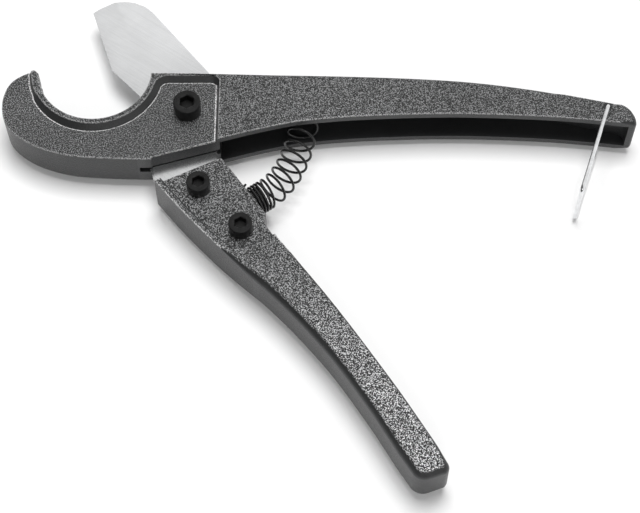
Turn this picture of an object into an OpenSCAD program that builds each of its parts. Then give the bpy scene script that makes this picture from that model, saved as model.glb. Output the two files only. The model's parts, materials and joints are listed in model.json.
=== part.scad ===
// One-stroke cutter for plastic pipe, lying on its back with the handles open.
// A cast frame carries the hooked jaw and the fixed handle. The lower handle
// holds the blade's tang in a slot, swings with it on the pivot screw, is
// pushed open by a coil spring and is held shut by a wire latch.
//
// Flat outlines are drawn round the pivot axis. Those of the swinging pieces
// are drawn as they stand when the tool is shut and are turned open from there.

/* [Castings] */
// Thickness of both castings, face to face
body_t = 18.5; // [16:0.5:23]
// Distance from the pivot to the end of the fixed handle
handle_len = 165; // [135:1:200]
// Wall thickness of the hollow handles
wall = 2.8; // [2:0.1:3.4]
// Height of the frame's top edge over the pivot
top_rise = 15.5; // [14:0.5:18]
// Angle between the shut tool and the tool at rest
open_angle = 54.5; // [45:0.5:60]
// Gap left between the two handles when the tool is shut
shut_gap = 0.3; // [0.2:0.1:0.6]

/* [Jaw] */
// Radius of the pipe seat
seat_r = 21; // [17:0.5:25.5]
// Metal between the pivot axis and the edge of the pipe seat
pivot_land = 14; // [13:0.5:17]
// Height of the pipe seat's centre over the pivot
seat_rise = 16.5; // [15:0.5:19]
// Depth of the recess in each face of the jaw
recess = 1.6; // [0.8:0.1:2]
// Width of the raised rim round the pipe seat
rim_w = 3.1; // [2.5:0.1:3.8]

/* [Blade] */
// Thickness of the blade
blade_t = 2; // [1.6:0.1:2.4]
// How far the blade's point passes the far side of the pipe seat
tip_pass = 6.2; // [5:0.1:7]
// How far the cutting edge passes the bottom of the pipe seat
edge_pass = 6.7; // [5:0.1:8]
// Thickness of the ground cutting edge
edge_t = 0.2; // [0.1:0.05:0.4]
// Gap between the blade and each wall of the slot in the frame
slot_gap = 0.45; // [0.35:0.05:0.6]
// Gap between the blade's tang and each wall of the slot in the lower handle
tang_gap = 0.05; // [0.02:0.01:0.1]

/* [Pivot] */
// Diameter of the pivot screw
pivot_d = 6; // [5:0.5:6]
// Length of the pivot screw under its head
pivot_len = 20; // [19:1:22]
// Outer diameter of the bush that the blade turns on
bush_d = 8; // [7.5:0.1:9]
// Radial running clearance between the bush and the blade
run_gap = 0.05; // [0.02:0.01:0.09]
// Outer diameter of the two thrust washers
thrust_d = 14; // [12:0.5:16]

/* [Blade screws] */
// Diameter of the two blade screws
clamp_d = 5; // [4:0.5:5]
// Length of the blade screws under their heads
clamp_len = 16; // [16:1:18]
// Depth of the recess in each face of the lower handle's pad
pad_recess = 3.3; // [3.1:0.1:3.8]

/* [Spring] */
// Wire diameter of the return spring
wire_d = 0.95; // [0.7:0.05:1.1]
// Outer diameter of the return spring
spring_d = 11.6; // [9:0.1:11.8]
// Turns that lie tight together at the lower end
tight_turns = 5.5; // [4:0.5:6]
// Open turns of the return spring
free_turns = 9; // [7:0.5:10]

/* [Latch] */
// Wire diameter of the latch
latch_d = 1.5; // [1.2:0.1:2]
// Distance from the latch's hinge to its cross bar
latch_len = 38; // [34:0.5:44]
// Inner radius of the latch's bends
latch_bend = 1.2; // [0.8:0.1:1.6]
// Radial running clearance of the latch in its two holes
latch_gap = 0.07; // [0.03:0.01:0.09]

/* [Hidden] */

// Colours
paint = [0.30, 0.31, 0.33];
steel = [0.84, 0.85, 0.86];
black_oxide = [0.13, 0.13, 0.14];
zinc = [0.72, 0.72, 0.70];
nylon = [0.85, 0.87, 0.90];
bronze = [0.62, 0.45, 0.25];

// Shared measures
mid_z = body_t / 2;              // the blade lies on the mid plane
over = 1;                        // how far a cut runs past the face it cuts
far = 40;                        // how far an open cut runs past an edge
arc_steps = 12;                  // straight pieces in a drawn arc
curve_steps = 5;                 // straight pieces between two curve points
screw_gap = 0.2;                 // radial clearance round a screw
floor_top = body_t - recess;     // front floor of the jaw's recess
pad_top = body_t - pad_recess;   // front face of the lower handle's pad

// Jaw and frame outline
seat = [-(pivot_land + seat_r), seat_rise];
block_x = 12;                    // where the solid jaw block ends and the hollow handle begins
recess_x = 11;                   // right edge of the jaw's recess
rim_top = 2.2;                   // width of the rim along the frame's top edge
recess_r = 2.6;                  // radius of the recess's upper right corner
fillet_r = 4.2;                  // radius where the seat's rim runs into the top edge's
tip_round = 1.3;                 // height of the hook's rounded tip over the seat's arc
// Hook metal outside the pipe seat, as angle round the seat and thickness
hook_metal = [[180, 3.9], [186.6, 9.6], [195, 13.3], [206, 16.3], [217, 17.9],
    [232, 17.2], [252, 15.8], [273, 15.8], [289, 18.4], [301, 22.5]];
// Lower edge of the fixed handle, where the handles meet, as shares of its length and heights
meet_keys = [[0.130, -10.3], [0.196, -7.5], [0.262, -5.4], [0.394, -3.4],
    [0.591, -2.4], [0.789, -3.5], [0.920, -5.4], [0.980, -6.6]];
// Upper edge of the fixed handle, as shares of its length and drops under the top edge
top_keys = [[0.955, 13.7], [0.920, 12.3], [0.789, 7.7], [0.658, 4.3], [0.525, 2.4],
    [0.328, 1.1], [0, 0.1]];
end_r = 7;                       // radius of the fixed handle's upper end corner
setback = 0.6;                   // the block's lower edge lies this far behind the hook's
// Outer edge of the lower handle near the pad, then as shares of the handle's length
pad_keys = [[18.4, -26.6], [33, -25.6], [49, -23.6]];
grip_keys = [[0.394, -21], [0.485, -18.1], [0.582, -16.1], [0.691, -15.2], [0.818, -16.2],
    [0.927, -18.2]];

// Lower handle
pad_y = -0.7;                    // inner edge of the pad when shut
pad_left = 22.8;                 // upper end of the pad's left edge
pad_end = 61.6;                  // where the full thickness of the handle begins
rim_low = 2.4;                   // width of the rim outside the pad
screw_front = [28.9, -14.5];     // places of the two blade screws when shut
screw_rear = [51.7, -11.7];
screw_bay = 8.6;                 // radius of the recess round the rear blade screw
end_over = 2.6;                  // the lower handle is this much longer than the fixed one
end_rise = 1.5;                  // rise of the grip's end over the line where the handles meet
bend_from = 0.6;                 // share of the handle's length where that rise begins
tang_inset = 2.2;                // metal outside the tang
tang_y = -3;                     // inner edge of the tang in the handle
tang_end = 59;
tang_end_gap = 0.4;

// Blade outline
tip = [seat.x - seat_r - tip_pass, -3.1];
corner = [seat.x - 0.8, seat_rise - seat_r - edge_pass];
heel = [seat.x + seat_r - 5.8, corner.y + 2.3];
blade_left = 13.5;               // half widths of the blade beside the pivot, when open
blade_right = 11;
back_drop = 1.1;                 // the blade's back at the tip lies this far under the seat's centre
slot_edge_gap = 1.2;             // slot past the blade's edges
slot_left = 17.3;                // left end of the slot in the frame's lower edge
bevel_w = [11, 13];              // widths of the two ground bevels

// Pivot stack
slot_half = blade_t / 2 + slot_gap;
head_h = pivot_d;
head_d = 10 / 6 * pivot_d;
nut_af = 10 / 6 * pivot_d;
nut_h = pivot_d;
washer_h = 1.6;
washer_d = 2 * pivot_d;
bore_floor = floor_top - pivot_len + nut_h + washer_h + 0.1;
bore_d = washer_d + 1;
thrust_t = slot_gap - 0.1;
clamp_head_d = 1.7 * clamp_d;
clamp_nut_af = 1.6 * clamp_d;
hex_gap = 0.1;
hex_depth = 2;
insert_h = 1.4;
insert_lip = 0.3;

// Spring
coil_r = (spring_d - wire_d) / 2;
seat_x_low = 42.4;               // spring centre on the pad's edge when shut
seat_x_high = 43.5;              // spring centre under the frame's top wall
spring_pocket = 1.3;             // depth of the spring's pocket in the top wall
spring_side = 0.4;               // clearance round the spring in its pocket
peg_h = 4;                       // height of the peg inside the lower coils
peg_gap = 0.45;                  // clearance between the peg and the coils
coil_touch = 0.02;               // gap between tight turns
coil_segs = 16;
wire_sides = 8;
open_pitch = 4.4;                // pitch of the first open turns
even_turns = 5;                  // open turns of even pitch

// Latch
latch_inset = 10.3;              // hinge to the handle's end
latch_y = 0.4;
latch_angle = -108.9;            // direction of the latch's legs at rest
latch_off = 0.7;                 // gap between a leg and the handle's face
latch_in = 1.2;                  // how far the wire's ends stand inside the handle

// Outlines by formula --------------------------------------------------------

function turned(p, a) = [p.x * cos(a) - p.y * sin(a), p.x * sin(a) + p.y * cos(a)];

function arc(c, r, from, to, steps = arc_steps) =
    [for (i = [0:steps]) let (a = from + (to - from) * i / steps) c + r * [cos(a), sin(a)]];

// Smooth curve through the points of k
function curve(k) = [
    for (i = [0:len(k) - 2], j = [0:curve_steps - 1])
        let (a = k[max(i - 1, 0)], b = k[i], c = k[i + 1], d = k[min(i + 2, len(k) - 1)],
             t = j / curve_steps)
        0.5 * (2 * b + (c - a) * t + (2 * a - 5 * b + 4 * c - d) * t * t
            + (3 * b - a - 3 * c + d) * t * t * t),
    k[len(k) - 1]];

function reversed(p) = [for (i = [len(p) - 1:-1:0]) p[i]];

// Height of the line p at x, for a line that runs towards +X
function height_at(p, x) =
    let (i = max([0, for (j = [0:len(p) - 2]) if (p[j].x <= x) j]))
    p[i].y + (p[i + 1].y - p[i].y) * (x - p[i].x) / (p[i + 1].x - p[i].x);

meet_line = curve([for (k = meet_keys) [k[0] * handle_len, k[1]]]);
top_line = curve([for (k = top_keys) [k[0] * handle_len, top_rise - k[1]]]);

// The grip bends up towards its end, so the handles meet at their ends first
function end_bend(p) = p + [0, end_rise * pow(max(p.x / handle_len - bend_from, 0) / (1 - bend_from), 2)];

outer_line = [for (p = curve(concat(pad_keys, [for (k = grip_keys) [k[0] * handle_len, k[1]]])))
    end_bend(p)];
inner_line = [for (p = meet_line) if (p.x > pad_end) end_bend(p - [0, shut_gap])];

fillet_c_y = top_rise - rim_top - fillet_r;
fillet_angle = asin((fillet_c_y - seat.y) / (seat_r + rim_w + fillet_r));
fillet_c = seat + (seat_r + rim_w + fillet_r) * [cos(fillet_angle), sin(fillet_angle)];

hook_line = [for (m = curve(hook_metal)) seat + (seat_r + m[1]) * [cos(m[0]), sin(m[0])]];
hook_end = hook_line[len(hook_line) - 1];
end_c = [handle_len - end_r, top_line[0].y - end_r];

frame_outline = concat(
    arc(seat, seat_r, -asin((seat_rise - top_rise) / seat_r), -180 + asin(tip_round / seat_r), 36),
    arc(seat + [-seat_r - 1.9, -tip_round + 0.2], 1.3, 50, 110, 4),
    hook_line,
    [hook_end + [0, setback]],
    meet_line,
    [[handle_len, meet_line[len(meet_line) - 1].y - 0.3]],
    arc(end_c, end_r, 0, 75, 8),
    top_line);

// End of the lower handle, from the outer corner round to the inner one
low_end = handle_len + end_over;
low_outer_end = outer_line[len(outer_line) - 1];
low_inner_end = inner_line[len(inner_line) - 1];
handle_end = concat(
    arc([low_end - 6.5, low_outer_end.y + 4.8], 5.2, -85, -15, 8),
    arc([low_end - 2.4, low_inner_end.y - 2.6], 2.4, -10, 80, 6));

handle_outline = concat(
    outer_line,
    handle_end,
    reversed(inner_line),
    [[pad_end - 1.6, -3.6], [pad_end - 7, -3.4], [pad_end - 10, pad_y]],
    arc([pad_left + 1, pad_y - 1], 1, 90, 170, 4));

// The blade, drawn shut; its sides beside the pivot are upright when it is open
tang_line = [for (p = outer_line) if (p.x < tang_end) p + [0, tang_inset]];
tang_out = height_at(outer_line, tang_end) + tang_inset;
slot_start = tang_line[0] - [far / 8, tang_end_gap];
tang_slot = concat(
    [slot_start],
    [for (p = tang_line) p - [0, tang_end_gap]],
    [[tang_end + tang_end_gap, tang_out - tang_end_gap],
     [tang_end + tang_end_gap, tang_y + tang_end_gap],
     [slot_start.x, tang_y + tang_end_gap]]);
left_high = turned([-blade_left, 5], open_angle);
left_low = turned([-blade_left, -21], open_angle);
right_high = turned([blade_right, 13.5], open_angle);
back_tip = seat_rise - back_drop;
blade_outline = concat(
    [tip, corner, heel, left_high, left_low, [14.3, tang_line[0].y - 0.4]],
    tang_line,
    [[tang_end, tang_out], [tang_end, tang_y], [pad_left - 0.5, tang_y], [19.6, pad_y]],
    [right_high, right_high + [-5.5, 0.7]],
    [[seat.x + seat_r + 0.4, back_tip + 2.2], [seat.x - 14, back_tip],
     [seat.x - 17.6, back_tip - 0.9], [seat.x - 21.4, back_tip - 3.1],
     [seat.x - 24, back_tip - 5.9], [tip.x + 1.1, 6.2], [tip.x, 0.1]]);

// Region that the slot in the frame leaves free for the blade
slot_outline = [
    [tip.x - far, seat_rise + far], [tip.x - far, tip.y + 0.6],
    tip - [0, slot_edge_gap], corner - [0, slot_edge_gap], heel - [0, slot_edge_gap + 0.4],
    [-slot_left, heel.y - 3], [-slot_left, -far], [block_x + over, -far],
    [block_x + over, top_rise - wall - over], [13.6, top_rise - wall - over],
    [13.6, seat_rise + far]];

// The tool rests on the end of the pivot screw and its nut; the frame of the
// part has its origin in the middle of the whole tool, level with that rest
open_blade = [for (p = blade_outline) turned(p, -open_angle)];
open_handle = [for (p = handle_outline) turned(p, -open_angle)];
low_z = floor_top - pivot_len;
left_x = min([for (p = frame_outline) p.x]);
right_x = max([for (p = frame_outline) p.x]);
front_y = min([for (p = open_handle) p.y]);
back_y = max([for (p = open_blade) p.y]);
origin = [(left_x + right_x) / 2, (front_y + back_y) / 2, low_z];

module placed() { translate(-origin) children(); }

// Places a swinging piece, drawn shut, where it stands with the tool open
module swung() { placed() rotate(-open_angle) children(); }

module slab(outline, z0, z1) { translate([0, 0, z0]) linear_extrude(z1 - z0) polygon(outline); }

// Jaw ---------------------------------------------------------------------------

// Edge of the recess in each face of the jaw; it runs out over the hook's outer edge
recess_outline = let (
        top = top_rise - rim_top,
        ring = seat_r + rim_w)
    concat(
        [[recess_x, -far]],
        arc([recess_x - recess_r, top - recess_r], recess_r, 0, 90, 6),
        arc(fillet_c, fillet_r, 90, 180 + fillet_angle, 6),
        arc(seat, ring, fillet_angle, -185, 36),
        [[tip.x - far, seat.y + ring * sin(5)], [tip.x - far, -far]]);

// Inside of the hollow fixed handle, open along its lower edge
module frame_hollow() {
    inner_r = end_r - wall;
    roof = [for (p = top_line) if (p.x > block_x && p.x < end_c.x) p - [0, wall]];
    roof_left = [block_x, height_at(reversed(top_line), block_x) - wall];
    slab(concat([[block_x, -far], [handle_len - wall, -far]], arc(end_c, inner_r, 0, 75, 6),
        roof, [roof_left]), wall, body_t - wall);
}

module hook_body() {
    color(paint) placed() difference() {
        slab(frame_outline, 0, body_t);
        slab(recess_outline, floor_top, body_t + over);
        slab(recess_outline, -over, recess);
        frame_hollow();
        intersection() {
            slab(slot_outline, mid_z - slot_half, mid_z + slot_half);
            translate([0, 0, mid_z - body_t]) cylinder(r = norm(tip) + 0.9, h = 2 * body_t, $fn = 96);
        }
        translate([0, 0, -over]) cylinder(d = pivot_d + 2 * screw_gap, h = body_t + 2 * over, $fn = 48);
        translate([0, 0, -over]) cylinder(d = bore_d, h = bore_floor + over, $fn = 48);
        translate([handle_len - latch_inset, latch_y, -over])
            cylinder(d = latch_d + 2 * latch_gap, h = body_t + 2 * over, $fn = 32);
        translate([seat_x_high, 0, mid_z]) rotate([-90, 0, 0])
            cylinder(d = spring_d + 2 * spring_side, h = spring_top.y, $fn = 48);
    }
}

// Swinging pieces ----------------------------------------------------------------

module pad_cut(z0, z1) {
    rim = [for (p = outer_line) if (p.x < screw_rear.x - 1) p + [0, rim_low]];
    slab(concat([[pad_keys[0].x - far, rim[0].y]], rim, arc(screw_rear, screw_bay, -68, 0, 8),
        [[pad_end, meet_line[len(meet_line) - 1].y + 3.2], [pad_end, far], [pad_keys[0].x - far, far]]),
        z0, z1);
}

// Inside of the hollow lower handle, open along its inner edge
module handle_hollow() {
    start = pad_end + wall;
    bottom = [for (p = outer_line) if (p.x > start) p + [0, wall]];
    slab(concat([[start, height_at(outer_line, start) + wall]], bottom,
        [[low_end - wall - 5, low_outer_end.y + wall], [low_end - wall - 1, low_outer_end.y + wall + 3],
         [low_end - wall, low_inner_end.y - 1], [low_end - wall, far], [start, far]]),
        wall, body_t - wall);
}

module hexagon_prism(af, h) { cylinder(d = af / cos(30), h = h, $fn = 6); }

module lower_handle() {
    color(paint) swung() difference() {
        union() {
            slab(handle_outline, 0, body_t);
            translate([seat_x_low, pad_y - over, mid_z]) rotate([-90, 0, 0])
                cylinder(d = spring_d - 2 * wire_d - 2 * peg_gap, h = peg_h + over, $fn = 36);
        }
        pad_cut(pad_top, body_t + over);
        pad_cut(-over, pad_recess);
        handle_hollow();
        slab(tang_slot, mid_z - blade_t / 2 - tang_gap, mid_z + blade_t / 2 + tang_gap);
        for (s = [screw_front, screw_rear]) translate([s.x, s.y, -over]) {
            cylinder(d = clamp_d + 2 * screw_gap, h = body_t + 2 * over, $fn = 40);
            hexagon_prism(clamp_nut_af + 2 * hex_gap, over + pad_recess + hex_depth);
        }
    }
}

// Wedge that grinds one side of the blade along the edge from a to b
module grind(a, b, w) {
    dir = atan2(b.y - a.y, b.x - a.x);
    run = norm(b - a);
    translate([a.x, a.y, mid_z]) rotate(dir) translate([-far, 0, 0]) rotate([90, 0, 90])
        linear_extrude(run + 2 * far) polygon([[0, edge_t / 2], [w, blade_t / 2], [w, blade_t],
            [-w, blade_t], [-w, edge_t / 2]]);
}

module blade() {
    color(steel) swung() difference() {
        slab(blade_outline, mid_z - blade_t / 2, mid_z + blade_t / 2);
        translate([0, 0, mid_z - blade_t]) {
            cylinder(d = bush_d + 2 * run_gap, h = 2 * blade_t, $fn = 48);
            for (s = [screw_front, screw_rear])
                translate([s.x, s.y, 0]) cylinder(d = clamp_d + 2 * screw_gap, h = 2 * blade_t, $fn = 40);
        }
        for (m = [0, 1]) translate([0, 0, m * body_t]) mirror([0, 0, m]) {
            grind(tip, corner, bevel_w[0]);
            intersection() {
                grind(corner, heel, bevel_w[1]);
                translate([heel.x - far, -far, 0]) cube([far, 2 * far, body_t]);
            }
        }
    }
}

// Fasteners -----------------------------------------------------------------------

// Socket head screw with its head's seat at z = 0 and its shank below
module cap_screw(d, head, len) {
    bevel = 0.06 * head;
    difference() {
        union() {
            cylinder(d = head, h = d - bevel, $fn = 40);
            translate([0, 0, d - bevel]) cylinder(d1 = head, d2 = head - 2 * bevel, h = bevel, $fn = 40);
            translate([0, 0, -len]) cylinder(d = d, h = len, $fn = 40);
        }
        translate([0, 0, d / 2]) hexagon_prism(d * 5 / 6, d);
    }
}

// Lock nut with its seat at z = 0 and its collar pointing down
module lock_nut(d, af, h) {
    collar = 0.25 * h;
    ring_d = d + 2.2;
    difference() {
        union() {
            translate([0, 0, collar - h]) hexagon_prism(af, h - collar);
            translate([0, 0, -h]) cylinder(d = af * 0.93, h = h, $fn = 40);
        }
        translate([0, 0, -h - over]) cylinder(d = d + 0.04, h = h + 2 * over, $fn = 40);
        translate([0, 0, -h - over]) cylinder(d = ring_d, h = insert_h + insert_lip + over, $fn = 40);
    }
}

module nut_insert(d, h) {
    translate([0, 0, insert_lip - h]) difference() {
        cylinder(d = d + 2.16, h = insert_h, $fn = 40);
        translate([0, 0, -over]) cylinder(d = d + 0.04, h = insert_h + 2 * over, $fn = 40);
    }
}

module ring(outer, inner, z, h) {
    translate([0, 0, z]) difference() {
        cylinder(d = outer, h = h, $fn = 48);
        translate([0, 0, -over]) cylinder(d = inner, h = h + 2 * over, $fn = 48);
    }
}

module pivot_screw() {
    color(black_oxide) placed() translate([0, 0, floor_top]) cap_screw(pivot_d, head_d, pivot_len);
}

module pivot_bush() {
    color(bronze) placed() ring(bush_d, pivot_d + 0.1, mid_z - slot_half, 2 * slot_half);
}

module thrust_washer_upper() {
    color(bronze) placed() ring(thrust_d, bush_d + 0.1, mid_z + blade_t / 2 + 0.05, thrust_t);
}

module thrust_washer_lower() {
    color(bronze) placed() ring(thrust_d, bush_d + 0.1, mid_z - blade_t / 2 - 0.05 - thrust_t, thrust_t);
}

module pivot_washer() {
    color(zinc) placed() ring(washer_d, pivot_d + 2 * screw_gap, bore_floor - washer_h, washer_h);
}

module pivot_nut() {
    color(zinc) placed() translate([0, 0, bore_floor - washer_h]) lock_nut(pivot_d, nut_af, nut_h);
}

module pivot_nut_insert() {
    color(nylon) placed() translate([0, 0, bore_floor - washer_h]) nut_insert(pivot_d, nut_h);
}

module clamp_screw(at) {
    color(black_oxide) swung() translate([at.x, at.y, pad_top]) cap_screw(clamp_d, clamp_head_d, clamp_len);
}

module blade_screw_front() { clamp_screw(screw_front); }
module blade_screw_rear() { clamp_screw(screw_rear); }

module clamp_nut(at) {
    color(zinc) swung() translate([at.x, at.y, pad_recess + hex_depth])
        lock_nut(clamp_d, clamp_nut_af, clamp_d);
}

module blade_nut_front() { clamp_nut(screw_front); }
module blade_nut_rear() { clamp_nut(screw_rear); }

module clamp_insert(at) {
    color(nylon) swung() translate([at.x, at.y, pad_recess + hex_depth]) nut_insert(clamp_d, clamp_d);
}

module blade_nut_insert_front() { clamp_insert(screw_front); }
module blade_nut_insert_rear() { clamp_insert(screw_rear); }

// Spring ----------------------------------------------------------------------------

// The spring's centre line runs straight out of the pad through its tight turns
// and then bends over to its pocket under the frame's top wall
spring_dir = turned([0, 1], -open_angle);
spring_foot = turned([seat_x_low, pad_y], -open_angle) + spring_dir * (wire_d / 2 + 0.05);
spring_top = [seat_x_high, height_at(reversed(top_line), seat_x_high) - wall + spring_pocket];
spring_end = spring_top - [0, wire_d / 2 + 0.05];
tight_len = tight_turns * (wire_d + coil_touch);
bend_0 = spring_foot + spring_dir * tight_len;
bend_1 = bend_0 + spring_dir * 14;
bend_2 = spring_end - [0, 16];

function bend(t) = pow(1 - t, 3) * bend_0 + 3 * pow(1 - t, 2) * t * bend_1
    + 3 * (1 - t) * t * t * bend_2 + t * t * t * spring_end;
function bend_dir(t) = let (v = pow(1 - t, 2) * (bend_1 - bend_0)
    + 2 * (1 - t) * t * (bend_2 - bend_1) + t * t * (spring_end - bend_2)) v / norm(v);

// Share of the bend at open turn n: even pitch first, wider towards the top
even_share = even_turns * open_pitch / 46;
function bend_share(n) = n <= even_turns ? n * even_share / even_turns
    : let (m = (n - even_turns) / (free_turns - even_turns), s = even_share / even_turns
        * (free_turns - even_turns)) even_share + s * m + (1 - even_share - s) * m * m;

function spring_ring(i) = let (
        n = i / coil_segs,
        t = bend_share(max(0, n - tight_turns)),
        tight = n < tight_turns,
        c = tight ? spring_foot + spring_dir * n * (wire_d + coil_touch) : bend(t),
        dir = tight ? spring_dir : bend_dir(t),
        a = 360 * n + 180,
        out = [dir.y * cos(a), -dir.x * cos(a), sin(a)],
        at = [c.x, c.y, mid_z] + coil_r * out)
    [for (k = [0:wire_sides - 1]) let (b = 360 * k / wire_sides)
        at + wire_d / 2 * (cos(b) * out + sin(b) * [dir.x, dir.y, 0])];

module return_spring() {
    rings = floor((tight_turns + free_turns) * coil_segs);
    color(black_oxide) placed() polyhedron(
        points = [for (i = [0:rings]) each spring_ring(i)],
        faces = concat(
            [[for (k = [0:wire_sides - 1]) k]],
            [for (i = [0:rings - 1], k = [0:wire_sides - 1])
                let (a = i * wire_sides + k, b = i * wire_sides + (k + 1) % wire_sides)
                each [[a, a + wire_sides, b], [b, a + wire_sides, b + wire_sides]]],
            [[for (k = [wire_sides - 1:-1:0]) rings * wire_sides + k]]));
}

// Latch -------------------------------------------------------------------------------

// Quarter bend of centre radius r, from +X into -Z, starting at the origin
module wire_bend(r) {
    translate([0, 0, -r]) rotate([90, 0, 0]) rotate_extrude(angle = 90, $fn = 32)
        translate([r, 0]) circle(d = latch_d, $fn = 24);
}

// Upper half of the latch, hinge at the origin and legs along +X; the bend at
// the hinge ends level with the handle's face, so the wire is straight in its hole
module latch_half() {
    hinge_r = latch_off + latch_d / 2;
    bar_r = latch_bend + latch_d / 2;
    leg_z = mid_z + hinge_r;
    translate([hinge_r, 0, leg_z]) rotate([0, 90, 0])
        cylinder(d = latch_d, h = latch_len - hinge_r - bar_r, $fn = 24);
    translate([latch_len - bar_r, 0, leg_z]) wire_bend(bar_r);
    translate([hinge_r, 0, leg_z]) mirror([1, 0, 0]) wire_bend(hinge_r);
    translate([latch_len, 0, 0]) cylinder(d = latch_d, h = leg_z - bar_r, $fn = 24);
    translate([0, 0, mid_z - wall - latch_in]) cylinder(d = latch_d, h = wall + latch_in, $fn = 24);
}

module latch_bail() {
    color(steel) placed() translate([handle_len - latch_inset, latch_y, mid_z]) rotate(latch_angle)
        for (m = [0, 1]) mirror([0, 0, m]) latch_half();
}

hook_body();
lower_handle();
blade();
pivot_screw();
pivot_bush();
thrust_washer_upper();
thrust_washer_lower();
pivot_washer();
pivot_nut();
pivot_nut_insert();
blade_screw_front();
blade_screw_rear();
blade_nut_front();
blade_nut_rear();
blade_nut_insert_front();
blade_nut_insert_rear();
return_spring();
latch_bail();
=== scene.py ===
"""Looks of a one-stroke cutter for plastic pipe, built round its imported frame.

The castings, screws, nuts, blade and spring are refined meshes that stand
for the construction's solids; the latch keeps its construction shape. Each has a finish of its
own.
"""

import json
import logging
import math
from dataclasses import dataclass, field
from enum import Enum
from typing import Callable, ClassVar, Sequence

import bmesh
import bpy
from mathutils import Matrix, Vector

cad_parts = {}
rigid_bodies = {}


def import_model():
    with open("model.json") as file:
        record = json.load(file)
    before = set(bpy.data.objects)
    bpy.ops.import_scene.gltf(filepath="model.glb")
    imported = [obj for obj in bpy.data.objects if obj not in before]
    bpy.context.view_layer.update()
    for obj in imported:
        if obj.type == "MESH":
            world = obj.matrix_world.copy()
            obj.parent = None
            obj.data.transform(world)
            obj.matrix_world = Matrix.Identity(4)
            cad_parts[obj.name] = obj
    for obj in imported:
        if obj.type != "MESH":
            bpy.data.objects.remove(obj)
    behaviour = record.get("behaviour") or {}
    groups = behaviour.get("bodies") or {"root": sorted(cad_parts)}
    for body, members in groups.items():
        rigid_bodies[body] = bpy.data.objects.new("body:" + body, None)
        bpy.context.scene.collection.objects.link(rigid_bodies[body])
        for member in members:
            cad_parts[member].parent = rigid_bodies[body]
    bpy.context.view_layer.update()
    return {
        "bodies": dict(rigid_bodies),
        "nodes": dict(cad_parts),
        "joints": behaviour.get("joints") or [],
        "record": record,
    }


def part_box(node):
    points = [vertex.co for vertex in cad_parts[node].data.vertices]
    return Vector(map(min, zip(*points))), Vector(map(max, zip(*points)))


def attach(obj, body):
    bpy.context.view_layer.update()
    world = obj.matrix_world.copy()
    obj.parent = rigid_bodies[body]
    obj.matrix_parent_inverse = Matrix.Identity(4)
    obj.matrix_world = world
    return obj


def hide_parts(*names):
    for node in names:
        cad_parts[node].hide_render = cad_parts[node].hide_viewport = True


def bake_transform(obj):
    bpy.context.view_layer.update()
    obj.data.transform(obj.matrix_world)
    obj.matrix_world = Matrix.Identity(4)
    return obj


MM = 0.001
# Names of the face attributes that the paint reads: painted shade and a painted highlight
SHADE_MARK = "inside"
GLINT_MARK = "rim"
# A rounding narrower than this is a thin edge, which gets a painted highlight: a line of bright
# flecks
THIN_EDGE = 0.7 * MM
# How bright that painted highlight is on a free edge, where the foot of a wall has 1
FREE_EDGE = 0.4
# How much painted shade the cheeks' narrow faces get, where the channel has 1
CHEEK_SHADE = 0.85
# Share of a normal along Z above which a face is level, and below which it is a wall
LEVEL = 0.999
WALL = 0.1
# Two heights closer than this are the same
SAME = 1e-5
LOG = logging.getLogger("pipe_cutter")


class Body(str, Enum):
    """Bodies that the pieces ride on."""

    FRAME = "frame"
    HANDLE = "handle"
    LATCH = "latch"


# ---------------------------------------------------------------------------
# Node helpers
# ---------------------------------------------------------------------------

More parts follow.
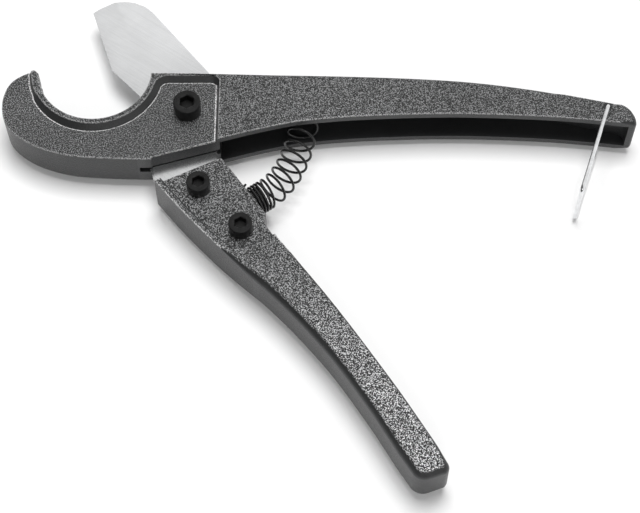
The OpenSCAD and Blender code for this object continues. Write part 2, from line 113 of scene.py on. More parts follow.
class Graph:
    """Adds nodes to one node tree and links them."""

    def __init__(self, tree: bpy.types.NodeTree) -> None:
        """Keeps the tree.

        Args:
            tree: the node tree to fill.
        """
        self.tree = tree

    def add(self, kind: str, inputs: dict | None = None, **settings: object) -> bpy.types.Node:
        """Adds one node.

        Args:
            kind: the node's type name.
            inputs: values or output sockets for its inputs, by name or index.
            **settings: attributes of the node.

        Returns:
            The new node.
        """
        node = self.tree.nodes.new(kind)
        for name, value in settings.items():
            setattr(node, name, value)
        for name, value in (inputs or {}).items():
            if isinstance(value, bpy.types.NodeSocket):
                self.tree.links.new(value, node.inputs[name])
            else:
                node.inputs[name].default_value = value
        return node

    def link(self, output: bpy.types.NodeSocket, socket: bpy.types.NodeSocket) -> None:
        """Links an output to an input."""
        self.tree.links.new(output, socket)

    def math(self, operation: str, *values: object, clamp: bool = False) -> bpy.types.NodeSocket:
        """Adds a Math node.

        Args:
            operation: the node's operation.
            *values: numbers or sockets for its inputs, in order.
            clamp: whether the result is held between 0 and 1.

        Returns:
            The node's output.
        """
        node = self.add("ShaderNodeMath", dict(enumerate(values)), operation=operation)
        node.use_clamp = clamp
        return node.outputs[0]

    def ramp(self, value: bpy.types.NodeSocket, low: float, high: float,
             to_low: float = 0.0, to_high: float = 1.0) -> bpy.types.NodeSocket:
        """Maps a value from one range to another, smoothly and held to it.

        Args:
            value: the socket to map.
            low: value that gives to_low.
            high: value that gives to_high.
            to_low: result at low.
            to_high: result at high.

        Returns:
            The mapped value.
        """
        node = self.add("ShaderNodeMapRange",
                        {0: value, 1: low, 2: high, 3: to_low, 4: to_high},
                        interpolation_type="SMOOTHSTEP")
        return node.outputs[0]

    def scaled(self, colour: object, factor: bpy.types.NodeSocket) -> bpy.types.NodeSocket:
        """Multiplies a colour by a factor."""
        return self.add("ShaderNodeVectorMath", {0: colour, "Scale": factor},
                        operation="SCALE").outputs[0]

    def noise(self, vector: bpy.types.NodeSocket, scale: object, detail: float,
              **others: float) -> bpy.types.NodeSocket:
        """Adds a noise texture.

        Args:
            vector: the coordinates it reads.
            scale: its scale, a number or a socket.
            detail: its octaves.
            **others: its other inputs, such as Roughness.

        Returns:
            The noise's value.
        """
        return self.add("ShaderNodeTexNoise", {"Vector": vector, "Scale": scale,
                                               "Detail": detail, **others}).outputs[0]

    def axis(self, vector: bpy.types.NodeSocket, index: int) -> bpy.types.NodeSocket:
        """One component of a vector, counted from 0."""
        return self.add("ShaderNodeSeparateXYZ", {0: vector}).outputs[index]

    def blend(self, factor: object, first: object, second: object) -> bpy.types.NodeSocket:
        """Mixes two colours.

        Args:
            factor: share of the second colour.
            first: colour or socket.
            second: colour or socket.

        Returns:
            The mixed colour.
        """
        node = self.add("ShaderNodeMix", data_type="RGBA")
        for socket, value in zip((node.inputs[0], node.inputs[6], node.inputs[7]),
                                 (factor, first, second)):
            if isinstance(value, bpy.types.NodeSocket):
                self.tree.links.new(value, socket)
            else:
                socket.default_value = value
        return node.outputs[2]


def grey(level: float, tint: float = 0.0) -> tuple[float, float, float, float]:
    """A grey in linear values, with a little blue for a positive tint."""
    return (level * (1 - tint), level, level * (1 + tint), 1.0)


class Effects:
    """Node groups that several finishes share, each built once."""

    _made: dict[str, bpy.types.NodeTree] = {}

    @classmethod
    def group(cls, name: str, inputs: dict[str, float], outputs: Sequence[str],
              fill: Callable[[Graph, bpy.types.Node, bpy.types.Node], None]) -> bpy.types.NodeTree:
        """Builds a group of float sockets, or returns it where it's there.

        Args:
            name: the group's name.
            inputs: name and default of each input; Vector is a vector input.
            outputs: names of its outputs.
            fill: adds the group's nodes between its input and output node.

        Returns:
            The node group.
        """
        if name in cls._made:
            return cls._made[name]
        tree = bpy.data.node_groups.new(name, "ShaderNodeTree")
        tree.interface.new_socket(name="Vector", in_out="INPUT", socket_type="NodeSocketVector")
        for key, value in inputs.items():
            socket = tree.interface.new_socket(name=key, in_out="INPUT",
                                               socket_type="NodeSocketFloat")
            socket.default_value = value
        for key in outputs:
            tree.interface.new_socket(name=key, in_out="OUTPUT", socket_type="NodeSocketFloat")
        graph = Graph(tree)
        fill(graph, graph.add("NodeGroupInput"), graph.add("NodeGroupOutput"))
        cls._made[name] = tree
        return tree

    @classmethod
    def grain(cls) -> bpy.types.NodeTree:
        """Wormy grain of hammered paint: bright flecks, dark pits and height."""

        def fill(graph: Graph, given: bpy.types.Node, result: bpy.types.Node) -> None:
            """Fills the group."""
            height = graph.noise(given.outputs["Vector"], given.outputs["Scale"], 0.6,
                                 Roughness=0.4, Distortion=0.5)
            graph.link(graph.ramp(height, 0.51, 0.64), result.inputs["Fleck"])
            graph.link(graph.ramp(height, 0.50, 0.38), result.inputs["Pit"])
            graph.link(height, result.inputs["Height"])

        return cls.group("Hammer grain", {"Scale": 1500.0}, ("Fleck", "Pit", "Height"), fill)

    @classmethod
    def smudge(cls) -> bpy.types.NodeTree:
        """Slow change over a surface, as handling and a spray gun leave it."""

        def fill(graph: Graph, given: bpy.types.Node, result: bpy.types.Node) -> None:
            """Fills the group."""
            cloud = graph.noise(given.outputs["Vector"], given.outputs["Scale"], 3.0,
                                Roughness=0.55)
            low = graph.math("SUBTRACT", 1.0, given.outputs["Amount"])
            high = graph.math("ADD", 1.0, given.outputs["Amount"])
            spread = graph.add("ShaderNodeMapRange", {0: cloud, 1: 0.32, 2: 0.68, 3: low, 4: high})
            graph.link(spread.outputs[0], result.inputs["Value"])

        return cls.group("Slow change", {"Scale": 40.0, "Amount": 0.1}, ("Value",), fill)

    @classmethod
    def grinding(cls) -> bpy.types.NodeTree:
        """Fine parallel marks of a grinding wheel."""

        def fill(graph: Graph, given: bpy.types.Node, result: bpy.types.Node) -> None:
            """Fills the group."""
            split = graph.add("ShaderNodeSeparateXYZ", {0: given.outputs["Vector"]})
            drawn = graph.add("ShaderNodeCombineXYZ", {
                0: graph.math("MULTIPLY", split.outputs[0], given.outputs["Along"]),
                1: graph.math("MULTIPLY", split.outputs[1], given.outputs["Across"]),
                2: graph.math("MULTIPLY", split.outputs[2], given.outputs["Across"])})
            graph.link(graph.noise(drawn.outputs[0], 1.0, 3.0, Roughness=0.6),
                       result.inputs["Marks"])

        return cls.group("Grinding marks", {"Along": 30.0, "Across": 3000.0}, ("Marks",), fill)

    @classmethod
    def rub(cls) -> bpy.types.NodeTree:
        """Share of a surface near its sharp edges, broken up as wear is."""

        def fill(graph: Graph, given: bpy.types.Node, result: bpy.types.Node) -> None:
            """Fills the group."""
            sharp = graph.add("ShaderNodeNewGeometry").outputs["Pointiness"]
            edge = graph.ramp(sharp, 0.52, 0.62)
            patchy = graph.noise(given.outputs["Vector"], given.outputs["Scale"], 2.0)
            worn = graph.math("MULTIPLY", edge, graph.ramp(patchy, 0.35, 0.6))
            graph.link(graph.math("MULTIPLY", worn, given.outputs["Amount"]),
                       result.inputs["Worn"])

        return cls.group("Edge rub", {"Scale": 400.0, "Amount": 0.5}, ("Worn",), fill)


class Finish:
    """Base of the finishes: a material with a Principled shader.

    Attributes:
        name: the material's name.
    """

    name: str
    _made: dict[str, bpy.types.Material] = {}

    def material(self) -> bpy.types.Material:
        """Returns this finish's material, made on first use."""
        if self.name not in Finish._made:
            made = bpy.data.materials.new(self.name)
            made.use_nodes = True
            made.node_tree.nodes.clear()
            graph = Graph(made.node_tree)
            shader = graph.add("ShaderNodeBsdfPrincipled")
            output = graph.add("ShaderNodeOutputMaterial")
            graph.link(shader.outputs[0], output.inputs[0])
            place = graph.add("ShaderNodeTexCoord")
            self.fill(graph, shader, place)
            Finish._made[self.name] = made
        return Finish._made[self.name]

    def fill(self, graph: Graph, shader: bpy.types.Node, place: bpy.types.Node) -> None:
        """Adds the finish's nodes.

        Args:
            graph: the material's graph.
            shader: its Principled shader.
            place: its texture coordinates.
        """
        raise NotImplementedError

    @staticmethod
    def effect(graph: Graph, tree: bpy.types.NodeTree, vector: bpy.types.NodeSocket,
               **values: object) -> bpy.types.Node:
        """Places a shared group in a material.

        Args:
            graph: the material's graph.
            tree: the shared group.
            vector: the coordinates it reads.
            **values: its other inputs; an underscore stands for a space.

        Returns:
            The group node.
        """
        node = graph.add("ShaderNodeGroup", node_tree=tree)
        graph.link(vector, node.inputs["Vector"])
        for key, value in values.items():
            node.inputs[key.replace("_", " ")].default_value = value
        return node

    @staticmethod
    def bump(graph: Graph, shader: bpy.types.Node, height: bpy.types.NodeSocket,
             distance: float, strength: float = 1.0) -> None:
        """Bends the shader's normal by a height, with distance in metres."""
        node = graph.add("ShaderNodeBump", {"Height": height, "Distance": distance,
                                            "Strength": strength})
        graph.link(node.outputs[0], shader.inputs["Normal"])

    def cover(self, graph: Graph, shader: bpy.types.Node, where: bpy.types.NodeSocket,
              colour: object, rough: float, drift: tuple[float, float],
              grain: tuple[float, float, float, float]) -> None:
        """Adds what the small parts' finishes share.

        Args:
            graph: the material's graph.
            shader: its Principled shader.
            where: the coordinates to use.
            colour: colour or socket.
            rough: its roughness.
            drift: scale and amount of the slow change over the surface.
            grain: scale, detail, depth in metres and strength of the fine grain.
        """
        change = self.effect(graph, Effects.smudge(), where, Scale=drift[0],
                             Amount=drift[1]).outputs["Value"]
        graph.link(graph.scaled(colour, change), shader.inputs["Base Color"])
        graph.link(graph.math("MULTIPLY", change, rough), shader.inputs["Roughness"])
        self.bump(graph, shader, graph.noise(where, grain[0], grain[1]), grain[2], grain[3])


@dataclass(frozen=True)
class HammeredPaint(Finish):
    """Dark hammered paint on a die casting, with light and shade painted in: flecked on its faces,
    plainer on its walls.

    Attributes:
        name: the material's name.
        base: the paint's grey.
        fleck: grey of the bright flecks on the faces.
        pit: grey of the dark pits.
        cover: how strongly the flecks show.
        scale: how many grains lie on a metre.
        wall: grey of the smoother upright walls, lighter than the faces as a painted reflection of
            the white floor.
        slope: grey of sloping walls and rounded edges, darker as painted shade.
        inside: grey of the painted shade in the channels' insides, which carry no flecks.
        edge: grey of the painted highlight, a line of bright flecks along thin edges.
        near: height of the pad's end, across the handle at rest.
        far: height of the grip's end.
        pad_highlight_share: painted highlight: how strong the flecks are at the pad, where they're
            fullest at the grip's end, as the light glints more there.
    """

    name: str
    base: float = 0.028
    fleck: float = 0.30
    pit: float = 0.006
    cover: float = 0.85
    scale: float = 2700.0
    wall: float = 0.045
    slope: float = 0.020
    inside: float = 0.028
    edge: float = 0.80
    near: float = 0.0
    far: float = -0.09
    pad_highlight_share: float = 1.0

    def fill(self, graph: Graph, shader: bpy.types.Node, place: bpy.types.Node) -> None:
        """Adds the paint's nodes."""
        where = place.outputs["Object"]
        level = graph.math("ABSOLUTE", graph.axis(place.outputs["Normal"], 2))
        # Painted shade: marked faces in the channel and hollows are darker and carry no flecks.
        shade_mask = graph.add("ShaderNodeAttribute", attribute_name=SHADE_MARK).outputs["Fac"]
        outside = graph.math("SUBTRACT", 1.0, shade_mask)
        # Flecks and pits show fully on level faces only, as painted glints of the light from
        # above.
        flat = graph.math("MULTIPLY", graph.ramp(level, 0.86, 0.97), outside)
        grain = self.effect(graph, Effects.grain(), where, Scale=self.scale)
        drift = self.effect(graph, Effects.smudge(), where, Scale=28.0, Amount=0.14)
        # Painted highlight: the flecks grow brighter towards the grip's end, where the light
        # glints most.
        glow = graph.ramp(graph.axis(where, 1), self.far, self.near, 1.0, self.pad_highlight_share)
        seen = graph.math("MULTIPLY", graph.math("MULTIPLY", grain.outputs["Fleck"], flat),
                          graph.math("MULTIPLY", glow, self.cover))
        sunk = graph.math("MULTIPLY", grain.outputs["Pit"],
                          graph.ramp(flat, 0.0, 1.0, 0.2, 0.9))
        # Painted light by facing: walls lighter as a painted reflection of the floor, slopes
        # darker as painted shade.
        side = graph.blend(graph.ramp(level, 0.25, 0.6), grey(self.wall, 0.03),
                           grey(self.slope, 0.02))
        body = graph.blend(flat, side, grey(self.base, 0.015))
        painted = graph.blend(shade_mask, body, grey(self.inside, 0.03))
        dark = graph.blend(sunk, painted, grey(self.pit))
        flecked = graph.blend(seen, dark, grey(self.fleck, 0.01))
        # Painted highlight: a line of bright flecks along thin edges.
        rim = graph.add("ShaderNodeAttribute", attribute_name=GLINT_MARK).outputs["Fac"]
        bright = graph.blend(graph.ramp(grain.outputs["Height"], 0.38, 0.54),
                             grey(self.base * 2), grey(self.edge))
        colour = graph.blend(graph.math("MULTIPLY", rim, 0.85), flecked, bright)
        graph.link(graph.scaled(colour, drift.outputs["Value"]), shader.inputs["Base Color"])
        graph.link(graph.ramp(seen, 0.0, 0.6, 0.0, 0.35), shader.inputs["Metallic"])
        graph.link(graph.ramp(grain.outputs["Fleck"], 0.0, 1.0, 0.40, 0.32),
                   shader.inputs["Roughness"])
        shader.inputs["Specular IOR Level"].default_value = 0.4
        self.bump(graph, shader, grain.outputs["Height"], 0.00018, 0.7)


@dataclass(frozen=True)
class GroundSteel(Finish):
    """Ground and polished tool steel.

    Attributes:
        name: the material's name.
        level: the steel's grey.
        rough: its roughness.
        turn: angle of the marks in the plane, in degrees.
        tip_reflection: painted reflection: how much brighter the tip is painted, as it mirrors the
            white surroundings and not the dark frame.
        reflection_from: height where that painted reflection begins, across the tool at rest, in
            metres.
        bright: height where it is full.
    """

    name: str
    tip_reflection: float = 1.14
    reflection_from: float = 0.055
    bright: float = 0.088
    level: float = 0.67
    rough: float = 0.24
    turn: float = 35.0

    def fill(self, graph: Graph, shader: bpy.types.Node, place: bpy.types.Node) -> None:
        """Adds the steel's nodes."""
        where = place.outputs["Object"]
        drawn = graph.add("ShaderNodeMapping", {
            "Vector": where, "Rotation": (0.0, 0.0, math.radians(self.turn))}).outputs[0]
        marks = self.effect(graph, Effects.grinding(), drawn, Along=25.0, Across=2600.0)
        drift = self.effect(graph, Effects.smudge(), where, Scale=55.0, Amount=0.06)
        tone = graph.blend(graph.ramp(marks.outputs["Marks"], 0.35, 0.65),
                           grey(self.level * 0.965, 0.008), grey(self.level, 0.008))
        # Painted reflection: brighter towards the tip, which mirrors the white surroundings rather
        # than the dark frame near the pivot.
        polished = graph.ramp(graph.axis(where, 1), self.reflection_from, self.bright, 1.0, self.tip_reflection)
        change = graph.math("MULTIPLY", drift.outputs["Value"], polished)
        graph.link(graph.scaled(tone, change), shader.inputs["Base Color"])
        shader.inputs["Metallic"].default_value = 1.0
        graph.link(graph.ramp(marks.outputs["Marks"], 0.3, 0.7, self.rough * 1.1,
                              self.rough * 0.92), shader.inputs["Roughness"])
        self.bump(graph, shader, marks.outputs["Marks"], 0.000005, 0.3)


@dataclass(frozen=True)
class PlatedWire(Finish):
    """Bright or dark drawn wire.

    Attributes:
        name: the material's name.
        level: the metal's grey.
        rough: its roughness.
        metallic: 1 for bare or plated metal, less under a coat of oxide.
    """

    name: str
    level: float = 0.86
    rough: float = 0.12
    metallic: float = 1.0

    def fill(self, graph: Graph, shader: bpy.types.Node, place: bpy.types.Node) -> None:
        """Adds the wire's nodes."""
        shader.inputs["Metallic"].default_value = self.metallic
        self.cover(graph, shader, place.outputs["Object"], grey(self.level, 0.01)[:3],
                   self.rough, (350.0, 0.10), (4200.0, 1.0, 0.00001, 0.3))


@dataclass(frozen=True)
class BlackOxide(Finish):
    """Black oxide on alloy steel, rubbed paler on its edges.

    Attributes:
        name: the material's name.
        level: the oxide's grey.
        bare: grey of the steel that shows on rubbed edges.
        metallic: how much of the steel's shine the oxide lets through.
        rough: its roughness.
    """

    name: str
    level: float = 0.014
    bare: float = 0.10
    metallic: float = 0.65
    rough: float = 0.34

    def fill(self, graph: Graph, shader: bpy.types.Node, place: bpy.types.Node) -> None:
        """Adds the oxide's nodes."""
        where = place.outputs["Object"]
        worn = self.effect(graph, Effects.rub(), where, Scale=900.0, Amount=0.55)
        colour = graph.blend(worn.outputs["Worn"], grey(self.level), grey(self.bare))
        shader.inputs["Metallic"].default_value = self.metallic
        self.cover(graph, shader, where, colour, self.rough, (260.0, 0.25),
                   (3500.0, 2.0, 0.00002, 0.5))


@dataclass(frozen=True)
class Plating(Finish):
    """Zinc plate, nylon or sintered bronze: one colour with a slow change and fine grain.

    Attributes:
        name: the material's name.
        colour: the surface's colour.
        metallic: 1 for metal, 0 for plastic.
        rough: its roughness.
        grain: depth of the fine grain in metres.
    """

    name: str
    colour: tuple[float, float, float] = (0.62, 0.62, 0.60)
    metallic: float = 1.0
    rough: float = 0.32
    grain: float = 0.00002

    def fill(self, graph: Graph, shader: bpy.types.Node, place: bpy.types.Node) -> None:
        """Adds the surface's nodes."""
        shader.inputs["Metallic"].default_value = self.metallic
        self.cover(graph, shader, place.outputs["Object"], self.colour, self.rough,
                   (220.0, 0.14), (3000.0, 2.0, self.grain, 0.6))


FRAME_PAINT = HammeredPaint("Frame paint")
# The grip's paint is the frame's paint with brighter flecks, a painted highlight of the light's
# glints on the lower handle.
LIT_GRIP_PAINT = HammeredPaint("Grip paint", base=0.034, fleck=0.78, cover=0.95, pad_highlight_share=0.42)
BLADE_STEEL = GroundSteel("Blade steel")
LATCH_NICKEL = PlatedWire("Latch nickel", level=0.74, rough=0.09)
SPRING_BLACK = PlatedWire("Spring black", level=0.014, rough=0.24, metallic=0.3)
SCREW_BLACK = BlackOxide("Screw black")
ZINC = Plating("Zinc plate")
NYLON = Plating("Nut nylon", (0.62, 0.68, 0.74), 0.0, 0.42, 0.00001)
BRONZE = Plating("Bush bronze", (0.50, 0.33, 0.16), 1.0, 0.38)


# ---------------------------------------------------------------------------
# Mesh helpers
# ---------------------------------------------------------------------------

def cad_mesh(node: bpy.types.Object) -> bmesh.types.BMesh:
    """The construction's mesh of one node, welded and with flat faces joined.

    Args:
        node: the node's object.

    Returns:
        A new bmesh in the frame's coordinates.
    """
    mesh = bmesh.new()
    mesh.from_mesh(node.data)
    bmesh.ops.remove_doubles(mesh, verts=mesh.verts, dist=1e-6)
    bmesh.ops.dissolve_limit(mesh, angle_limit=0.002, verts=mesh.verts, edges=mesh.edges)
    return mesh


def new_piece(name: str, mesh: bmesh.types.BMesh, finish: Finish,
              smooth: float = 32.0) -> bpy.types.Object:
    """Turns a bmesh into a shown piece.

    Args:
        name: the piece's name.
        mesh: its mesh, which is freed.
        finish: its finish.
        smooth: faces closer than this many degrees are shaded as one.

    Returns:
        The new object.
    """
    data = bpy.data.meshes.new(name)
    mesh.normal_update()
    for edge in mesh.edges:
        edge.smooth = not edge.is_manifold or edge.calc_face_angle() < math.radians(smooth)
    for face in mesh.faces:
        face.smooth = True
    mesh.to_mesh(data)
    mesh.free()
    data.materials.append(finish.material())
    piece = bpy.data.objects.new(name, data)
    bpy.context.scene.collection.objects.link(piece)
    return piece


def settle_normals(piece: bpy.types.Object) -> None:
    """Lets flat faces keep their own shading beside rounded edges.

    Args:
        piece: the piece, whose mesh is replaced.
    """
    piece.modifiers.new("Flat faces", "WEIGHTED_NORMAL").keep_sharp = True
    bpy.context.view_layer.update()
    graph = bpy.context.evaluated_depsgraph_get()
    done = bpy.data.meshes.new_from_object(piece.evaluated_get(graph))
    piece.modifiers.clear()
    old, piece.data = piece.data, done
    done.name = old.name
    bpy.data.meshes.remove(old)


class Rim:
    """Rounds the outline of a flat, level part of a casting's skin.

    Every point of the outline has a radius of its own, so a rounding may grow along an edge.
    """

    def __init__(self, mesh: bmesh.types.BMesh, region: list[bmesh.types.BMFace],
                 radius: Callable[[Vector, float], float], glint: Callable[[Vector], float],
                 segments: int) -> None:
        """Measures the outline.

        Args:
            mesh: the casting's mesh.
            region: the faces of the level part.
            radius: rounding at a point, given the edge's bend there, which is negative
                at the foot of a wall.
            glint: how bright the painted highlight of a thin edge is at a point.
            segments: faces across the rounding.
        """
        self.mesh = mesh
        self.glint = glint
        self.region = region
        self.segments = segments
        self.up = region[0].normal.copy()
        self.layer = mesh.faces.layers.float.get(GLINT_MARK)
        self.edges: list[tuple[bmesh.types.BMVert, bmesh.types.BMVert]] = []
        self.inward: dict[bmesh.types.BMVert, list[Vector]] = {}
        self.radii: dict[bmesh.types.BMVert, float] = {}
        self.foot: dict[bmesh.types.BMVert, float] = {}
        members = set(region)
        for face in region:
            for loop in face.loops:
                if any(f in members and f is not face for f in loop.edge.link_faces):
                    continue
                first, second = loop.vert, loop.link_loop_next.vert
                self.edges.append((first, second))
                normal = self.up.cross(second.co - first.co).normalized()
                bend = loop.edge.calc_face_angle_signed(0.0)
                for vert in (first, second):
                    self.inward.setdefault(vert, []).append(normal)
                    self.radii[vert] = max(self.radii.get(vert, 0.0), radius(vert.co, bend))
                    self.foot[vert] = min(self.foot.get(vert, bend), bend)

    def even_out(self, slope: float = 0.3) -> None:
        """Keeps neighbouring radii close to one another."""
        for _ in range(12):
            for first, second in self.edges:
                reach = (first.co - second.co).length * slope
                low = min(self.radii[first], self.radii[second]) + reach
                self.radii[first] = min(self.radii[first], low)
                self.radii[second] = min(self.radii[second], low)

    def cut(self) -> None:
        """Puts the rounding in."""
        self.even_out()
        rows: dict[bmesh.types.BMVert, list[bmesh.types.BMVert]] = {}
        for vert, normals in self.inward.items():
            mitre = sum(normals, Vector())
            mitre = mitre / max(0.6, mitre.length_squared / len(normals))
            radius = self.radii[vert]
            row = [vert]
            for j in range(1, self.segments + 1):
                angle = math.pi / 2 * j / self.segments
                row.append(self.mesh.verts.new(
                    vert.co + mitre * radius * (1 - math.cos(angle))
                    - self.up * radius * (1 - math.sin(angle))))
            rows[vert] = row
        bmesh.ops.delete(self.mesh, geom=self.region, context="FACES_ONLY")
        for first, second in self.edges:
            # Thin edges get a painted highlight, a line of bright flecks that is full at the foot
            # of a wall.
            thin = max(self.radii[first], self.radii[second]) < THIN_EDGE
            at_foot = max(self.foot[first], self.foot[second]) < 0
            free = self.glint((first.co + second.co) / 2)
            mark = (1.0 if at_foot else free) if thin else 0.0
            for j in range(self.segments):
                strip = self.mesh.faces.new((rows[first][j], rows[second][j],
                                             rows[second][j + 1], rows[first][j + 1]))
                strip[self.layer] = mark
        inner = [self.mesh.edges.get((rows[first][-1], rows[second][-1]))
                 for first, second in self.edges]
        bmesh.ops.triangle_fill(self.mesh, edges=inner, use_beauty=True, use_dissolve=False,
                                normal=self.up)
        for vert in rows:
            vert.co -= self.up * self.radii[vert]


def level_parts(mesh: bmesh.types.BMesh, middle: float) -> list[list[bmesh.types.BMFace]]:
    """The level parts of the skin that face away from the middle plane.

    Args:
        mesh: a casting's mesh.
        middle: height of the middle plane.

    Returns:
        The joined faces of each part, in an order that is the same each time.
    """
    level = [f for f in mesh.faces
             if abs(f.normal.z) > LEVEL and (f.verts[0].co.z - middle) * f.normal.z > 0]
    left = set(level)
    parts = []
    for seed in level:
        if seed not in left:
            continue
        left.discard(seed)
        part = [seed]
        for reached in part:
            for edge in reached.edges:
                for face in edge.link_faces:
                    if face in left:
                        left.discard(face)
                        part.append(face)
        parts.append(part)
    return parts


def round_rims(mesh: bmesh.types.BMesh, middle: float,
               radius: Callable[[Vector, float], float], glint: Callable[[Vector], float],
               segments: int) -> None:
    """Rounds the outlines of all level parts of the skin.

    Args:
        mesh: a casting's mesh.
        middle: height of the middle plane.
        radius: rounding at a point, given the edge's bend there.
        glint: how bright the painted highlight of a thin edge is at a point.
        segments: faces across the rounding.
    """
    if mesh.faces.layers.float.get(GLINT_MARK) is None:
        mesh.faces.layers.float.new(GLINT_MARK)
    for part in level_parts(mesh, middle):
        Rim(mesh, part, radius, glint, segments).cut()
    loose = [e for e in mesh.edges if not e.link_faces]
    bmesh.ops.delete(mesh, geom=loose, context="EDGES")
    mesh.normal_update()


def mark_inside(mesh: bmesh.types.BMesh, middle: float, cheek: float,
                gets_shade: Callable[[bmesh.types.BMFace], bool]) -> None:
    """Marks painted shade on a casting: fully on its channel's faces, and partly on its cheeks'
    edges.

    Args:
        mesh: the casting's mesh.
        middle: height of the middle plane.
        cheek: how far from it the cheeks begin.
        gets_shade: whether a face gets the channel's full painted shade.
    """
    layer = mesh.faces.layers.float.new(SHADE_MARK)
    for face in mesh.faces:
        apart = min(abs(v.co.z - middle) for v in face.verts)
        if gets_shade(face):
            face[layer] = 1.0
        # Painted shade, weaker, on the cheeks' narrow upright faces.
        elif apart > cheek - 0.3 * MM and abs(face.normal.z) < 0.3:
            face[layer] = CHEEK_SHADE


def round_corners(mesh: bmesh.types.BMesh, width: float, chosen: Callable[[Vector], bool],
                  segments: int = 4) -> None:
    """Rounds the upright corners that have room on both sides.

    Args:
        mesh: a casting's mesh.
        width: width of the rounding.
        chosen: whether a corner at a point is wanted.
        segments: faces across it.
    """
    corners = []
    for edge in mesh.edges:
        first, second = edge.verts
        upright = abs(first.co.z - second.co.z) > 0.98 * edge.calc_length()
        if not upright or edge.calc_face_angle(0.0) < math.radians(35):
            continue
        room = min(e.calc_length() for v in edge.verts for e in v.link_edges if e is not edge)
        if edge.is_convex and chosen(first.co) and room > 1.3 * width:
            corners.append(edge)
    bmesh.ops.bevel(mesh, geom=corners, offset=width, segments=segments, affect="EDGES",
                    profile=0.5, clamp_overlap=True)
    mesh.normal_update()


def place(piece: bpy.types.Object, body: Body, slot: str, *nodes: str) -> bpy.types.Object:
    """Lets a piece ride on a body and stand for nodes of the construction.

    Args:
        piece: the piece.
        body: the body it rides on.
        slot: its material slot in the record; not used.
        *nodes: the nodes it stands for.

    Returns:
        The piece.
    """
    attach(piece, body.value)
    if nodes:
        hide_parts(*nodes)
    LOG.info("%s rides on %s", piece.name, body.value)
    return piece


def held(value: float) -> float:
    """A value held between 0 and 1."""
    return max(0.0, min(1.0, value))


def turned(point: Sequence[float], degrees: float) -> Vector:
    """A flat point turned about the origin."""
    return Matrix.Rotation(math.radians(degrees), 2) @ Vector(point[:2])


# ---------------------------------------------------------------------------
# Sub-assemblies
# ---------------------------------------------------------------------------

@dataclass
class Tool:
    """Places that the sub-assemblies share, read from the frame.

    Attributes:
        nodes: the construction's objects by name.
        pivot: the pivot axis at the castings' middle plane.
        latch: the latch's axis.
        back: height of the castings' back faces.
        front: height of their front faces.
        swing: angle between the drawn shut handle and the handle at rest.
    """

    nodes: dict[str, bpy.types.Object]
    pivot: Vector
    latch: Vector
    back: float
    front: float
    swing: float = 54.5

    @classmethod
    def from_frame(cls, frame: dict) -> "Tool":
        """Reads the shared places.


        Returns:
            The tool's shared places.
        """
        hinges = {joint["name"]: Vector(joint["pos_m"]) for joint in frame["joints"]}
        low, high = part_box("hook_body")
        pivot = Vector((*hinges["handle_swing"].xy, (low[2] + high[2]) / 2))
        return cls(frame["nodes"], pivot, hinges["latch_swing"], low[2], high[2])

    @property
    def thickness(self) -> float:
        """Thickness of the castings."""
        return self.front - self.back

    @property
    def middle(self) -> float:
        """Height of the middle plane."""
        return (self.front + self.back) / 2

    def shut(self, point: Sequence[float]) -> Vector:
        """A point of the lower handle in its shut place, about the pivot, in mm."""
        flat = turned(Vector(point[:2]) - self.pivot.xy, self.swing) / MM
        return Vector((flat.x, flat.y, (point[2] - self.back) / MM))

    def at_rest(self, x: float, y: float, z: float) -> Vector:
        """The rest place of a point that is given shut, about the pivot, in mm."""
        flat = turned((x * MM, y * MM), -self.swing) + self.pivot.xy
        return Vector((flat.x, flat.y, self.back + z * MM))


@dataclass
class Casting:
    """What the two die castings share.

    Attributes:
        tool: shared places.
        inner: half the width between the channel's cheeks.
    """

    tool: Tool
    inner: float = 6.6 * MM

    def radius(self, point: Vector, bend: float) -> float:
        """Rounding at a point of an outline.

        Args:
            point: the point.
            bend: the edge's bend there, negative at the foot of a wall.

        Returns:
            The radius.
        """
        raise NotImplementedError

    def gets_shade(self, face: bmesh.types.BMFace) -> bool:
        """Whether a face gets the channel's painted shade."""
        return all(abs(v.co.z - self.tool.middle) < self.inner for v in face.verts)

    def glint(self, _point: Vector) -> float:
        """Brightness of a thin edge's painted highlight at a point."""
        return FREE_EDGE

    def complete(self, mesh: bmesh.types.BMesh, name: str, finish: Finish,
                 segments: int) -> bpy.types.Object:
        """Rounds and marks the mesh and turns it into a piece.

        Args:
            mesh: the casting's mesh.
            name: the piece's name.
            finish: its finish.
            segments: faces across a rounding.

        Returns:
            The piece.
        """
        round_rims(mesh, self.tool.middle, self.radius, self.glint, segments)
        mark_inside(mesh, self.tool.middle, self.inner, self.gets_shade)
        piece = new_piece(name, mesh, finish)
        settle_normals(piece)
        return piece


